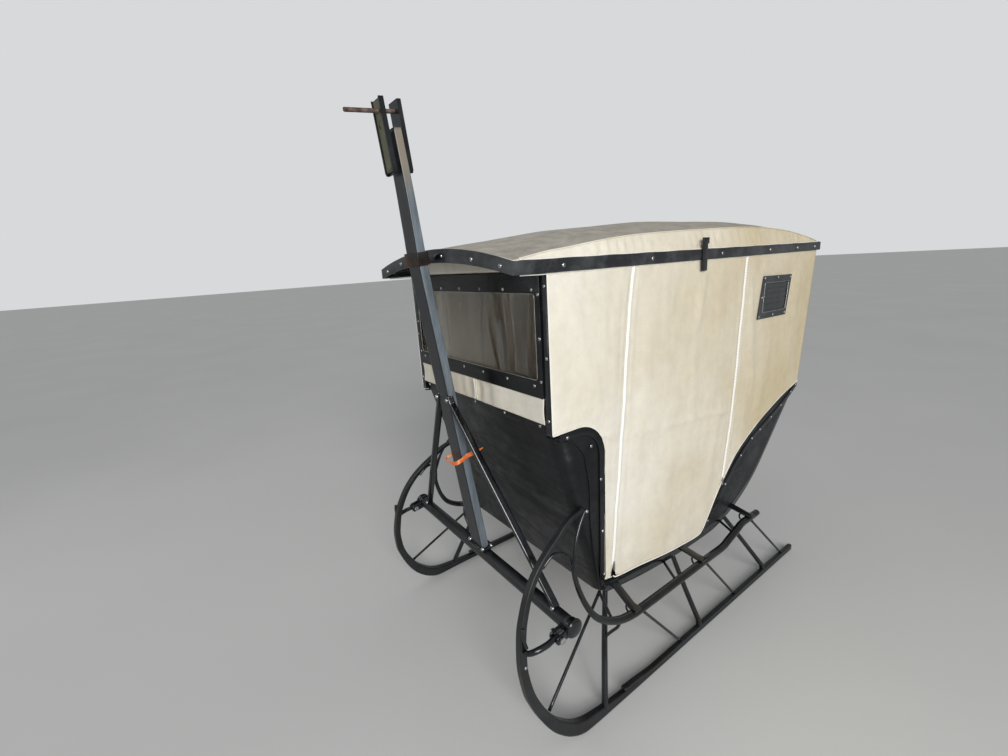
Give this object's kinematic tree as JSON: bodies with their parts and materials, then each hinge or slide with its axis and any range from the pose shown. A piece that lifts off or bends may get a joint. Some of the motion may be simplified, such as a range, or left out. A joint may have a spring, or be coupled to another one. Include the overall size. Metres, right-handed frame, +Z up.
{
  "type": "horse drawn sleigh",
  "caption": "Light horse drawn sleigh: curved steel runners, black tub and canvas cab with windscreen, and a T shaped pole hinged at the runner fronts, swung up and strapped to the roof",
  "frame": {"origin": "on the floor, between the runners, under the middle of the whole length", "axes": "+X to the sleigh's left, -Y forwards (the way it is drawn), +Z up"},
  "size_m": [0.9982, 1.9552, 1.8882],
  "materials": {
    "canvas": "coated cotton canvas, cream to tan, sun warmed, soft creases",
    "clear_vinyl": "thin clear plastic sheet, slightly wavy",
    "black_vinyl": "black coated fabric binding, smooth",
    "seat_vinyl": "black upholstery vinyl",
    "board": "dark painted plywood",
    "body_black": "gloss black paint over sheet, scuffed and dusty",
    "black_steel": "gloss black paint on bent steel, chipped, some rust",
    "worn_steel": "black paint worn grey, rust at the edges",
    "rusty_steel": "brown rusty bare steel",
    "bright_steel": "zinc plated fasteners",
    "strap_leather": "dark brown strap leather"
  },
  "bodies": {
    "sleigh": {"cab_top_rails": "black_steel", "cross_beams": "black_steel", "dash": "body_black", "door_curtain_left": "canvas", "door_curtain_right": "canvas", "doorway_trims": "black_steel", "front_apron": "canvas", "front_curtain_left": "canvas", "front_curtain_right": "canvas", "front_posts": "black_steel", "header": "black_steel", "header_strip": "canvas", "hinge_iron_left": "black_steel", "hinge_iron_right": "black_steel", "outriggers": "black_steel", "quarter_panel_left": "body_black", "quarter_panel_right": "body_black", "rear_curtain": "canvas", "rear_light": "clear_vinyl", "rear_posts": "black_steel", "rear_side_curtain_left": "canvas", "rear_side_curtain_right": "canvas", "roof_bows": "black_steel", "roof_canvas": "canvas", "roof_front_rail": "black_steel", "roof_hooks": "black_steel", "roof_rear_rail": "black_steel", "roof_side_rails": "black_steel", "runner_doublers": "black_steel", "runner_left": "black_steel", "runner_right": "black_steel", "seat_back_board": "board", "seat_back_cushion": "seat_vinyl", "seat_base": "board", "seat_cushion": "seat_vinyl", "side_rail_left": "black_steel", "side_rail_right": "black_steel", "sills": "black_steel", "stays": "black_steel", "strap_keeper": "black_steel", "struts": "black_steel", "tub_back": "body_black", "tub_floor": "board", "vent_frames": "black_vinyl", "vent_panes": "black_vinyl", "windscreen_border": "black_vinyl", "windscreen_pane": "clear_vinyl"},
    "pole": {"crossbar": "black_steel", "crossbar_caps": "black_steel", "fork_channels": "worn_steel", "fork_pin": "rusty_steel", "hinge_bolts": "bright_steel", "hinge_ears": "black_steel", "pole": "worn_steel", "pole_braces": "worn_steel", "pole_strap": "strap_leather"}
  },
  "joints": [
    {"name": "pole_swing", "type": "hinge", "parent": "sleigh", "child": "pole", "pos_m": [0, -0.72936, 0.40266], "axis": [1, 0, 0], "range_deg": [0, 88]}
  ]
}
